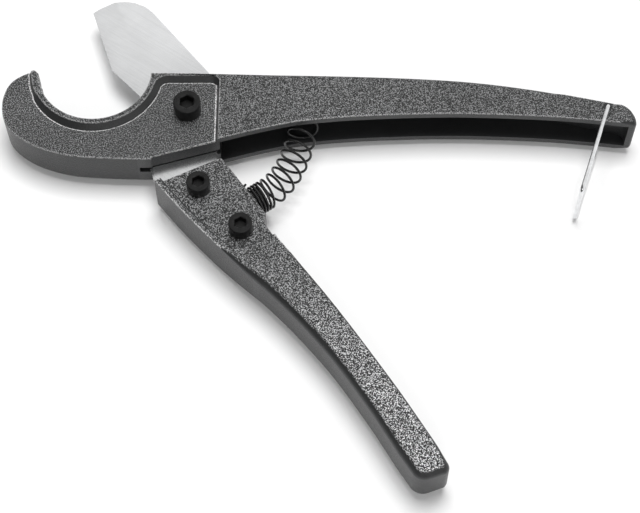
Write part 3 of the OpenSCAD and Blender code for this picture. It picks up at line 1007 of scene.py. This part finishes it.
@dataclass
class FrameCasting(Casting):
    """The cast frame: hooked jaw and fixed handle.

    Attributes:
        edge: rounding of its crisp edges.
        groove: rounding of the floor's edge at the foot of a wall.
        spine: rounding along the handle's upper edge.
        spine_from: where that edge begins, in mm from the pivot.
        slope: width of the sloping wall round the jaw's recess.
        side_slope: width of that wall on its right side.
        recess: depth of that recess.
        end: rounding at the handle's end.
        end_from: where the end begins, in mm from the pivot.
        corner: rounding of the end's upright corners.
        corner_from: where they lie, in mm from the pivot.
        hole: reach of the latch hole's rounding from its centre, in mm.
        hole_shade: reach of the painted shade in it, in mm.
    """

    edge: float = 0.4 * MM
    groove: float = 0.6 * MM
    spine: float = 1.2 * MM
    spine_from: tuple[float, float] = (14.0, 4.0)
    slope: float = 2.1 * MM
    side_slope: float = 0.8 * MM
    recess: float = 1.6 * MM
    end: float = 2.2 * MM
    end_from: float = 160.5
    corner: float = 1.25 * MM
    corner_from: float = 155.0
    hole: float = 2.0
    hole_shade: float = 2.3

    def build(self) -> bpy.types.Object:
        """Makes the casting.

        Returns:
            The piece.
        """
        mesh = cad_mesh(self.tool.nodes["hook_body"])
        self.tilt_recess_walls(mesh)
        round_corners(mesh, self.corner,
                      lambda point: self.from_pivot(point).x > self.corner_from)
        piece = self.complete(mesh, "frame_casting", FRAME_PAINT, 4)
        return place(piece, Body.FRAME, "frame_paint", "hook_body")

    def from_pivot(self, point: Vector) -> Vector:
        """Flat place of a point from the pivot, in mm."""
        return (point - self.tool.pivot).xy / MM

    def from_hole(self, point: Vector) -> float:
        """Distance of a point from the latch's axis, in mm."""
        return (point - self.tool.latch).xy.length / MM

    def gets_shade(self, face: bmesh.types.BMFace) -> bool:
        """Whether a face gets painted shade: in the channel, the blade's slot or a hole of the
        latch.
        """
        in_hole = all(self.from_hole(v.co) < self.hole_shade for v in face.verts)
        return in_hole or super().gets_shade(face)

    def radius(self, point: Vector, bend: float) -> float:
        """Rounding at a point of an outline, as the base class says."""
        at = self.from_pivot(point)
        if bend < 0:
            return self.groove
        if self.from_hole(point) < self.hole:
            return THIN_EDGE
        if at.x > self.end_from:
            return self.end
        upper = at.x > self.spine_from[0] and at.y > self.spine_from[1] + 0.02 * at.x
        return self.spine if upper else self.edge

    def tilt_recess_walls(self, mesh: bmesh.types.BMesh) -> None:
        """Turns the recess's upright walls into sloping ones.

        Args:
            mesh: the casting's mesh.
        """
        tool = self.tool
        for face_z, way in ((tool.front, -1.0), (tool.back, 1.0)):
            floor_z = face_z + way * self.recess
            walls = [f for f in mesh.faces
                     if abs(f.normal.z) < WALL
                     and all(min(abs(v.co.z - face_z), abs(v.co.z - floor_z)) < SAME
                             for v in f.verts)]
            self.move_walls(walls, face_z)

    def move_walls(self, walls: list[bmesh.types.BMFace], face_z: float) -> None:
        """Moves the upper ends of the walls back and their lower ends out.

        Args:
            walls: the wall's faces, all round one recess.
            face_z: height of the face that the recess is in.
        """
        inward: dict[bmesh.types.BMVert, list[Vector]] = {}
        for face in walls:
            for vert in face.verts:
                inward.setdefault(vert, []).append(face.normal.copy())
        wall_set = set(walls)
        shifts: dict[bmesh.types.BMVert, Vector] = {}
        for vert, normals in inward.items():
            normal = sum(normals, Vector()).normalized()
            half = (self.side_slope if normal.x < -0.9 else self.slope) / 2
            if 0.2 < -normal.x < 0.9 and normal.y < 0:
                half = (self.side_slope * -normal.x + self.slope * -normal.y) / 2
            rim = abs(vert.co.z - face_z) < SAME
            shift = normal * (-half if rim else half)
            skin = [f.normal for f in vert.link_faces
                    if abs(f.normal.z) < WALL and f not in wall_set]
            if skin:
                along = Vector((-skin[0].y, skin[0].x, 0.0))
                share = along.dot(normal)
                if abs(share) > 0.2:
                    shift = along * (shift.dot(normal) / share)
            shifts[vert] = shift
        for vert, shift in shifts.items():
            vert.co += shift


@dataclass
class LowerCasting(Casting):
    """The lower handle: recessed pad and rounded grip.

    Attributes:
        round_edge: rounding of the grip's outer edges and its end.
        inner_edge: rounding of the grip's inner edges.
        crisp: rounding of the pad's edges.
        groove: rounding of the pad's edge at the foot of a wall.
        pad_from: where along the handle the outer edge's rounding begins, in mm.
        grip_from: where along the handle it has its full size, in mm.
        end_from: where along the handle its end begins, in mm.
        end_run: length over which the rounding grows there, in mm.
        spine_y: height above which an edge counts as an inner one, in mm.
        step: rounding of the full thickness where it drops to the pad.
        step_to: where along the handle the pad ends, in mm.
        lip: a point in the middle of the rim beside the pad, in mm.
        lip_rise: how much the rim rises on each mm along the handle.
        lip_glint: brightness of the painted highlight along the rim's outer edge.
        pad_glint: brightness of that along the pad's edges.
    """

    round_edge: float = 3.0 * MM
    inner_edge: float = 1.0 * MM
    crisp: float = 0.4 * MM
    groove: float = 0.2 * MM
    pad_from: float = 54.0
    grip_from: float = 74.0
    end_from: float = 160.0
    end_run: float = 4.0
    spine_y: float = -12.5
    step: float = 0.6 * MM
    step_to: float = 62.6
    lip: tuple[float, float] = (18.4, -25.4)
    lip_rise: float = 0.098
    lip_glint: float = 0.75
    pad_glint: float = 0.15

    def build(self) -> bpy.types.Object:
        """Makes the handle.

        Returns:
            The piece.
        """
        mesh = cad_mesh(self.tool.nodes["lower_handle"])
        piece = self.complete(mesh, "lower_handle_casting", LIT_GRIP_PAINT, 6)
        return place(piece, Body.HANDLE, "handle_paint", "lower_handle")

    def gets_shade(self, face: bmesh.types.BMFace) -> bool:
        """Whether a face gets painted shade: in the channel or on the rounding of the drop to the
        pad.
        """
        shut = self.tool.shut(face.calc_center_median())
        high = all(self.is_high(v.co) for v in face.verts)
        # Painted shade: the rounding along the drop to the pad is darkened.
        if high and abs(face.normal.z) < 0.995 and self.on_step(shut):
            return True
        pad = shut.x < self.grip_from - 2
        return super().gets_shade(face) and not (pad and abs(face.normal.z) > 0.5)

    def radius(self, point: Vector, bend: float) -> float:
        """Rounding at a point of an outline, as the base class says."""
        if bend < 0:
            return self.groove
        shut = self.tool.shut(point)
        if self.is_high(point) and self.on_step(shut):
            return self.step
        start = held((shut.x - self.pad_from) / (self.grip_from - self.pad_from))
        if shut.y < self.spine_y - 2 * (1 - start):
            return self.crisp + (self.round_edge - self.crisp) * start
        if shut.x < self.grip_from:
            return self.crisp
        reach = held((shut.x - self.end_from) / self.end_run)
        return self.inner_edge + (self.round_edge - self.inner_edge) * reach

    def outside_lip(self, shut: Vector) -> bool:
        """Whether a point given shut lies on the outer side of the rim beside the pad."""
        return shut.y < self.lip[1] + (shut.x - self.lip[0]) * self.lip_rise

    def is_high(self, point: Vector) -> bool:
        """Whether a point lies at the handle's full thickness."""
        return abs(point.z - self.tool.middle) > self.tool.thickness / 2 - 1 * MM

    def on_step(self, shut: Vector) -> bool:
        """Whether a point given shut lies along the drop to the pad."""
        return shut.x < self.step_to and not self.outside_lip(shut)

    def glint(self, point: Vector) -> float:
        """Brightness of a thin edge's painted highlight: strong on the rim beside the pad."""
        shut = self.tool.shut(point)
        if self.is_high(point):
            return 0.0 if self.on_step(shut) else self.lip_glint
        return self.pad_glint


@dataclass
class Blade:
    """The ground blade, whose edges stay sharp.

    Attributes:
        tool: shared places.
    """

    tool: Tool

    def build(self) -> bpy.types.Object:
        """Makes the blade.

        Returns:
            The piece.
        """
        mesh = cad_mesh(self.tool.nodes["blade"])
        piece = new_piece("blade_plate", mesh, BLADE_STEEL, 20)
        settle_normals(piece)
        return place(piece, Body.HANDLE, "blade_steel", "blade")


@dataclass
class TurnedPart:
    """A part whose skin is a stack of rings round its own axis.

    Attributes:
        node: the node it stands for.
        body: the body it rides on.
        diameter: nominal diameter in mm.
        sides: points on each ring.
    """

    node: str
    body: Body
    diameter: float
    sides: ClassVar[int] = 96

    def top(self) -> Vector:
        """Centre of the node's top."""
        low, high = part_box(self.node)
        return Vector(((low[0] + high[0]) / 2, (low[1] + high[1]) / 2, high[2]))

    def bearing(self, i: int) -> float:
        """Angle of point i round the axis."""
        return 2 * math.pi * i / self.sides

    def corner(self, i: int) -> float:
        """How much farther out point i of a hexagon is than its flats."""
        turn = (self.bearing(i) + math.pi / 6) % (math.pi / 3) - math.pi / 6
        return 1 / math.cos(turn)

    def ring(self, mesh: bmesh.types.BMesh, point: Callable[[int], tuple[float, float]],
             turn: float = 0.0) -> list[bmesh.types.BMVert]:
        """Adds a ring of points.

        Args:
            mesh: the mesh to fill.
            point: radius and height of point i.
            turn: angle of the whole ring, in degrees.

        Returns:
            The new points.
        """
        made = []
        for i in range(self.sides):
            (radius, height), at = point(i), self.bearing(i) + math.radians(turn)
            made.append(mesh.verts.new((radius * math.cos(at), radius * math.sin(at), height)))
        return made

    def finish_up(self, mesh: bmesh.types.BMesh, rings: list[list[bmesh.types.BMVert]],
                  finish: Finish, slot: str, smooth: float) -> bpy.types.Object:
        """Joins the rings and turns the mesh into a piece at the node's place.

        Args:
            mesh: the mesh, with its top at z = 0.
            rings: its rings, in order.
            finish: the part's finish.
            slot: its material slot in the record.
            smooth: faces closer than this many degrees are shaded as one.

        Returns:
            The piece.
        """
        for first, second in zip(rings, rings[1:]):
            for i in range(self.sides):
                j = (i + 1) % self.sides
                mesh.faces.new((first[i], first[j], second[j], second[i]))
        bmesh.ops.recalc_face_normals(mesh, faces=mesh.faces)
        centre = self.top()
        for vert in mesh.verts:
            vert.co += centre
        piece = new_piece(self.node + "_part", mesh, finish, smooth)
        return place(piece, self.body, slot, self.node)


@dataclass
class CapScrew(TurnedPart):
    """A socket head screw with a cut thread.

    Attributes:
        pitch: thread pitch in mm.
        socket: half the socket's width, as a share of the diameter.
        deep: its depth, as a share of the diameter.
        bevel: rounding of the head's rim, as a share of the diameter.
        thread: depth of the thread, as a share of the pitch.
    """

    pitch: float
    socket: ClassVar[float] = 5 / 12
    deep: ClassVar[float] = 0.52
    bevel: ClassVar[float] = 0.055
    thread: ClassVar[float] = 0.55

    def build(self) -> bpy.types.Object:
        """Makes the screw.

        Returns:
            The piece.
        """
        low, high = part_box(self.node)
        mesh = bmesh.new()
        rings = self.head(mesh, (high[0] - low[0]) / 2)
        bottom = self.diameter * MM
        self.add_thread(mesh, rings, -bottom * 1.04, low[2] - high[2])
        across = self.diameter * self.socket * MM
        tip = mesh.verts.new((0.0, 0.0, -self.deep * bottom - 0.12 * across))
        for i in range(self.sides):
            mesh.faces.new((tip, rings[0][(i + 1) % self.sides], rings[0][i]))
        mesh.faces.new(rings[-1][::-1])
        return self.finish_up(mesh, rings, SCREW_BLACK, "black_screw", 28)

    def head(self, mesh: bmesh.types.BMesh, radius: float) -> list[list[bmesh.types.BMVert]]:
        """Adds the rings of the socket, the head and the shank's upper end.

        Args:
            mesh: the mesh to fill.
            radius: the head's radius.

        Returns:
            The rings, from the socket's floor.
        """
        high = self.diameter * MM
        shank = high / 2
        across = high * self.socket
        bevel = high * self.bevel
        hexed = [(across * 0.98, -self.deep * high), (across, -0.10 * across)]
        outline = [(across * 1.22, 0.0), (radius - 2.4 * bevel, 0.0)]
        outline += [(radius - bevel * (1 - math.sin(a)), -bevel * (1 - math.cos(a)))
                    for a in (math.pi / 8 * i for i in range(5))]
        outline += [(radius, -0.30 * high), (radius, -0.94 * high), (radius - 0.3 * bevel, -high),
                    (shank * 1.12, -high), (shank, -high * 1.04)]
        rings = [self.ring(mesh, lambda i, r=r, z=z: (r * self.corner(i), z)) for r, z in hexed]
        return rings + [self.ring(mesh, lambda i, r=r, z=z: (r, z)) for r, z in outline]

    def add_thread(self, mesh: bmesh.types.BMesh, rings: list[list[bmesh.types.BMVert]],
                   start: float, end: float) -> None:
        """Adds rings of a helical thread that fades out at both ends.

        Args:
            mesh: the mesh to fill.
            rings: the rings so far, which grow.
            start: height where the shank begins.
            end: height of the screw's end.
        """
        radius = self.diameter / 2 * MM
        pitch = self.pitch * MM
        count = int((start - end) / (pitch / 8))
        for k in range(1, count + 1):
            z = start - (start - end) * k / count
            fade = held(min((start - z) / (4 * MM) - 0.6, (z - end) / (0.8 * MM)))
            taper = max(0.0, 1 - (z - end) / (0.7 * MM)) * 0.6 * MM

            def groove(i: int) -> tuple[float, float]:
                """Radius and height of point i."""
                phase = (z / pitch + i / self.sides) % 1.0
                cut = held(abs(phase - 0.5) * 2.5 - 0.12)
                return radius - self.thread * pitch * fade * cut - taper, z

            rings.append(self.ring(mesh, groove))


@dataclass
class LockNut(TurnedPart):
    """A lock nut whose collar points down.

    Attributes:
        flats: distance across the flats in mm.
        height: height in mm.
        turn: angle of its corners in degrees.
        chamfer: chamfer at its hexagon's ends.
        insert: depth of the seat of its nylon ring.
    """

    flats: float
    height: float
    turn: float
    chamfer: ClassVar[float] = 0.35 * MM
    insert: ClassVar[float] = 1.7 * MM

    def profile(self) -> list[tuple[float, float, bool]]:
        """Radius and height round the nut's section, and whether that point is hexagonal."""
        flat = self.flats / 2 * MM
        bore = (self.diameter / 2 + 0.03) * MM
        full = self.height * MM
        collar = 0.25 * full
        chamfer = self.chamfer
        wide = flat * 0.93
        path = [(bore, -0.3 * MM, False), (bore + chamfer, 0.0, False), (flat * 0.96, 0.0, False),
                (flat, -chamfer * 1.2, True), (flat, collar - full + chamfer * 1.2, True),
                (flat * 0.96, collar - full, False), (wide, collar - full, False)]
        path += [(wide - (0.05 * wide + chamfer) * (1 - math.cos(a)),
                  collar - full - (collar - 0.02 * MM) * math.sin(a), False)
                 for a in (math.pi / 10 * i for i in range(1, 6))]
        inner = (self.diameter + 2.2) / 2 * MM
        return path + [(inner, -full + 0.05 * MM, False), (inner, -full + self.insert, False),
                       (bore, -full + self.insert, False)]

    def build(self) -> bpy.types.Object:
        """Makes the nut.

        Returns:
            The piece.
        """
        mesh = bmesh.new()
        rings = []
        for radius, z, hexed in self.profile():
            drop = radius * 0.55 * (-1 if z > -self.height * MM / 2 else 1)

            def skin(i: int) -> tuple[float, float]:
                """Radius and height of point i, with the corners cut to a cone."""
                wide = min(self.corner(i), 1.145) if hexed else 1.0
                return radius * wide, z + (wide - 1.0) * drop

            rings.append(self.ring(mesh, skin, self.turn))
        return self.finish_up(mesh, rings + rings[:1], ZINC, "zinc_plate", 30)


@dataclass
class ReturnSpring:
    """The coil spring between the pad and the frame's top wall.

    Attributes:
        tool: shared places.
        wire: wire diameter in mm.
        outer: outer diameter in mm.
        tight: turns that lie close together at the lower end.
        stack_pitch: distance between those, in mm.
        free: open turns.
        foot: where the coil stands on the pad when shut, from the pivot, in mm.
        top_x: place of its upper end along the frame, in mm.
        steps: sections on each turn.
        sides: points round the wire.
        even_turns: open turns that have the same pitch.
        open_pitch: that pitch, in mm.
        bend_length: length of the bent part of the centre line, in mm.
        reach: how far the bend's ends run straight on, in mm.
        tail: how far the wire's lower end stands out, in mm.
        tail_turn: share of a turn over which it does.
        lead: share of a turn that the tail adds before the first turn.
    """

    tool: Tool
    wire: float = 0.95
    outer: float = 11.6
    tight: float = 4.5
    stack_pitch: float = 1.25
    free: float = 9.0
    foot: tuple[float, float] = (42.4, -0.7)
    top_x: float = 43.5
    steps: int = 40
    sides: int = 12
    even_turns: float = 5.0
    open_pitch: float = 4.4
    bend_length: float = 46.0
    reach: tuple[float, float] = (14.0, 16.0)
    tail: float = 2.4
    tail_turn: float = 0.22
    lead: float = 0.15

    def build(self) -> bpy.types.Object:
        """Makes the spring.

        Returns:
            The piece.
        """
        mesh = bmesh.new()
        count = int((self.tight + self.free) * self.steps)
        lead = int(self.lead * self.steps)
        rings = [self.ring(mesh, i / self.steps) for i in range(-lead, count + 1)]
        for first, second in zip(rings, rings[1:]):
            for i in range(self.sides):
                j = (i + 1) % self.sides
                mesh.faces.new((first[i], first[j], second[j], second[i]))
        mesh.faces.new(rings[0][::-1])
        mesh.faces.new(rings[-1])
        bmesh.ops.recalc_face_normals(mesh, faces=mesh.faces)
        piece = new_piece("return_spring_coil", mesh, SPRING_BLACK, 50)
        start = self.tool.at_rest(self.foot[0], self.foot[1] + self.tight * self.stack_pitch,
                                  self.tool.thickness / MM / 2)
        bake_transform(piece)
        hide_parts("return_spring")
        LOG.info("%s bends between handle and frame", piece.name)
        return piece

    def top(self) -> Vector:
        """The spring's upper end, on the coil's centre line."""
        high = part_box("return_spring")[1]
        return Vector((self.tool.pivot.x + self.top_x * MM, high[1] - self.wire / 2 * MM,
                       self.tool.middle))

    def centre(self, turns: float) -> tuple[Vector, Vector]:
        """Centre line of the coil.

        Args:
            turns: turns from the lower end.

        Returns:
            The point and the line's direction.
        """
        tool = self.tool
        half = tool.thickness / MM / 2
        foot = tool.at_rest(self.foot[0], self.foot[1] + self.wire / 2 + 0.05, half)
        way = (tool.at_rest(0, 1, half) - tool.at_rest(0, 0, half)).normalized()
        pitch = self.stack_pitch * MM
        if turns < self.tight:
            return foot + way * turns * pitch, way
        p0 = foot + way * self.tight * pitch
        p3 = self.top()
        p1 = p0 + way * self.reach[0] * MM
        p2 = p3 - Vector((0, self.reach[1] * MM, 0))
        t = self.share(turns - self.tight)
        s = 1 - t
        at = s ** 3 * p0 + 3 * s * s * t * p1 + 3 * s * t * t * p2 + t ** 3 * p3
        slope = s * s * (p1 - p0) + 2 * s * t * (p2 - p1) + t * t * (p3 - p2)
        return at, slope.normalized()

    def share(self, turns: float) -> float:
        """Share of the bend that lies below a turn: even pitch first, then wider."""
        even = self.even_turns * self.open_pitch / self.bend_length
        if turns <= self.even_turns:
            return turns * even / self.even_turns
        rest = self.free - self.even_turns
        m = (turns - self.even_turns) / rest
        s = even / self.even_turns * rest
        return min(1.0, even + s * m + (1 - even - s) * m * m)

    def ring(self, mesh: bmesh.types.BMesh, turns: float) -> list[bmesh.types.BMVert]:
        """Adds the wire's section at a turn.

        Args:
            mesh: the mesh to fill.
            turns: turns from the lower end.

        Returns:
            The section's points.
        """
        centre, way = self.centre(max(0.0, turns))
        angle = 2 * math.pi * turns + math.pi
        side = Vector((way.y, -way.x, 0.0))
        up = Vector((0.0, 0.0, 1.0))
        out = side * math.cos(angle) + up * math.sin(angle)
        flare = max(0.0, 1.0 - (turns + self.lead) / self.tail_turn) ** 2 * self.tail
        at = centre + out * ((self.outer - self.wire) / 2 + flare) * MM
        radius = self.wire / 2 * MM
        return [mesh.verts.new(at + (out * math.cos(b) + way * math.sin(b)) * radius)
                for b in (2 * math.pi * k / self.sides for k in range(self.sides))]


@dataclass
class CarriedOver:
    """Nodes whose construction shape is shown, each with a finish.

    Attributes:
        tool: shared places.
        finishes: the finish of each node.
    """

    tool: Tool
    finishes: dict[str, Finish] = field(default_factory=lambda: {
        "pivot_bush": BRONZE, "thrust_washer_upper": BRONZE, "thrust_washer_lower": BRONZE,
        "pivot_washer": ZINC, "pivot_nut_insert": NYLON, "blade_nut_insert_front": NYLON,
        "blade_nut_insert_rear": NYLON, "latch_bail": LATCH_NICKEL})

    def dress(self) -> None:
        """Gives each node its finish."""
        for name, finish in self.finishes.items():
            node = self.tool.nodes[name]
            for slot in node.material_slots:
                slot.material = finish.material()
            LOG.info("%s is shown as built", name)


# ---------------------------------------------------------------------------
# Stage
# ---------------------------------------------------------------------------

@dataclass(frozen=True)
class Lamp:
    """A square soft light, one metre away, that points at the tool.

    Attributes:
        name: the lamp's name.
        lean: its angle from straight above, in degrees.
        heading: where it stands, in degrees from +Y towards +X.
        size: its side, in metres.
        power: its power in watts.
        mirrored: whether shiny surfaces reflect it.
    """

    name: str
    lean: float
    heading: float
    size: float
    power: float
    mirrored: bool = True

    def build(self) -> None:
        """Adds the light."""
        data = bpy.data.lights.new(self.name, "AREA")
        data.size = self.size
        data.energy = self.power
        lamp = bpy.data.objects.new(self.name, data)
        lean, heading = math.radians(self.lean), math.radians(self.heading)
        way = Vector((math.sin(lean) * math.sin(heading), math.sin(lean) * math.cos(heading),
                      math.cos(lean)))
        lamp.location = way
        lamp.rotation_euler = way.to_track_quat("Z", "Y").to_euler()
        lamp.visible_glossy = self.mirrored
        bpy.context.scene.collection.objects.link(lamp)


@dataclass
class Stage:
    """White floor, soft light and the camera.

    Attributes:
        tool: shared places.
        tilt: the camera's angle above the floor, in degrees.
        distance: from the camera to the point it looks at, in metres.
        aim: that point, from the pivot, in mm.
        lens: focal length in mm on a 36 mm sensor.
        floor_size: side of the floor, in metres.
        fill: strength of the light from all round.
        dim_side: how bright the near side of the room looks in a reflection.
        lamps: the lights.
    """

    tool: Tool
    tilt: float = 62.5
    distance: float = 0.6131
    aim: tuple[float, float, float] = (48.75, -56.77, 0.0)
    lens: float = 96.55
    floor_size: float = 6.0
    fill: float = 0.30
    dim_side: float = 0.15
    lamps: tuple[Lamp, ...] = (Lamp("Key", 9.0, 12.0, 0.5, 9.8, mirrored=False),
                               Lamp("Glint", 46.0, 180.0, 0.22, 1.2))

    def build(self) -> None:
        """Makes camera, floor, world and lamps."""
        self.camera()
        self.floor()
        self.world()
        for lamp in self.lamps:
            lamp.build()
        bpy.context.scene.view_settings.view_transform = "Standard"

    def camera(self) -> None:
        """Adds the camera."""
        data = bpy.data.cameras.new("Camera")
        data.lens = self.lens
        data.sensor_width = 36.0
        data.clip_start = 0.01
        camera = bpy.data.objects.new("Camera", data)
        tilt = math.radians(self.tilt)
        target = self.tool.pivot + Vector(self.aim) * MM
        camera.location = target + Vector((0, -math.cos(tilt), math.sin(tilt))) * self.distance
        camera.rotation_euler = (math.pi / 2 - tilt, 0.0, 0.0)
        bpy.context.scene.collection.objects.link(camera)
        bpy.context.scene.camera = camera

    @staticmethod
    def seen_white(graph: Graph) -> bpy.types.NodeSocket:
        """1 for rays from the camera, a mirror or glass, otherwise 0."""
        path = graph.add("ShaderNodeLightPath")
        first = graph.math("MAXIMUM", path.outputs["Is Camera Ray"],
                           path.outputs["Is Glossy Ray"])
        return graph.math("MAXIMUM", first, path.outputs["Is Transmission Ray"])

    def floor(self) -> None:
        """Adds the floor, which keeps the tool's shadow."""
        mesh = bmesh.new()
        bmesh.ops.create_grid(mesh, x_segments=1, y_segments=1, size=self.floor_size / 2)
        data = bpy.data.meshes.new("Floor")
        mesh.to_mesh(data)
        mesh.free()
        floor = bpy.data.objects.new("Floor", data)
        material = bpy.data.materials.new("Floor white")
        material.use_nodes = True
        graph = Graph(material.node_tree)
        shader = material.node_tree.nodes["Principled BSDF"]
        shader.inputs["Base Color"].default_value = grey(0.82)
        shader.inputs["Roughness"].default_value = 0.9
        shader.inputs["Specular IOR Level"].default_value = 0.0
        shader.inputs["Emission Color"].default_value = (1.0, 1.0, 1.0, 1.0)
        away = graph.add("ShaderNodeVectorMath", {
            0: graph.add("ShaderNodeTexCoord").outputs["Object"]}, operation="LENGTH").outputs[1]
        glow = graph.ramp(away, 0.25, 0.9, 0.07, 0.85)
        graph.link(graph.math("MULTIPLY", self.seen_white(graph), glow),
                   shader.inputs["Emission Strength"])
        data.materials.append(material)
        bpy.context.scene.collection.objects.link(floor)

    def world(self) -> None:
        """Adds the white surroundings."""
        world = bpy.data.worlds.new("World")
        world.use_nodes = True
        graph = Graph(world.node_tree)
        back = world.node_tree.nodes["Background"]
        back.inputs["Color"].default_value = (1.0, 1.0, 1.0, 1.0)
        path = graph.add("ShaderNodeLightPath")
        way = graph.add("ShaderNodeTexCoord").outputs["Generated"]
        toward = graph.math("ADD", graph.math("MULTIPLY", graph.axis(way, 1), 0.6),
                            graph.axis(way, 0))
        mirrored = graph.ramp(toward, -0.35, 0.15, self.dim_side, 1.0)
        seen = graph.math("MAXIMUM", path.outputs["Is Camera Ray"],
                          path.outputs["Is Transmission Ray"])
        soft = graph.add("ShaderNodeMix", {0: path.outputs["Is Glossy Ray"], 2: self.fill,
                                           3: mirrored}).outputs[0]
        graph.link(graph.math("MAXIMUM", seen, soft), back.inputs["Strength"])
        bpy.context.scene.world = world


def main() -> None:
    """Builds the tool's sub-assemblies and the stage in order."""
    logging.basicConfig(level=logging.INFO, format="%(name)s: %(message)s")
    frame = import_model()
    tool = Tool.from_frame(frame)
    Stage(tool).build()
    FrameCasting(tool).build()
    LowerCasting(tool).build()
    Blade(tool).build()
    CapScrew("pivot_screw", Body.FRAME, 6.0, 1.0).build()
    for end in ("front", "rear"):
        CapScrew(f"blade_screw_{end}", Body.HANDLE, 5.0, 0.8).build()
        LockNut(f"blade_nut_{end}", Body.HANDLE, 5.0, 8.0, 5.0, -tool.swing).build()
    LockNut("pivot_nut", Body.FRAME, 6.0, 10.0, 6.0, 0.0).build()
    ReturnSpring(tool).build()
    CarriedOver(tool).dress()
    bpy.context.view_layer.update()


if __name__ == "__main__":
    main()
